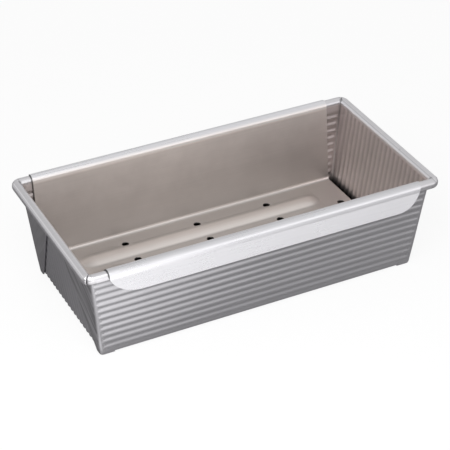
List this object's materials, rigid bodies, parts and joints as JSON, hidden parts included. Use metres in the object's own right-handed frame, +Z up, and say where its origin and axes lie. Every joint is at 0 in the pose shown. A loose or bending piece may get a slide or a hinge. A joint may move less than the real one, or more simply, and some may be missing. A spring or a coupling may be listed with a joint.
{
  "type": "meatloaf pan with insert",
  "caption": "Ribbed sheet-steel loaf pan with wire-rolled rim and folded corners, with a lift-out perforated insert hung on the long rims by two flared lips.",
  "frame": {"origin": "middle of the face that the pan rests on, under the middle of the pan", "axes": "+X along the pan's length, +Y across it towards the back long wall, +Z up out of the pan"},
  "size_m": [0.2666, 0.1432, 0.0752],
  "materials": {
    "pan_sheet": "satin",
    "wire": "satin",
    "insert_sheet": "satin"
  },
  "bodies": {
    "pan": {"pan_shell": "pan_sheet", "rim_wire": "wire"},
    "insert": {"insert_tray": "insert_sheet"}
  },
  "joints": [
    {"name": "insert_lift", "type": "slide", "parent": "pan", "child": "insert", "axis": [0, 0, 1], "range_m": [0, 0.085]}
  ]
}
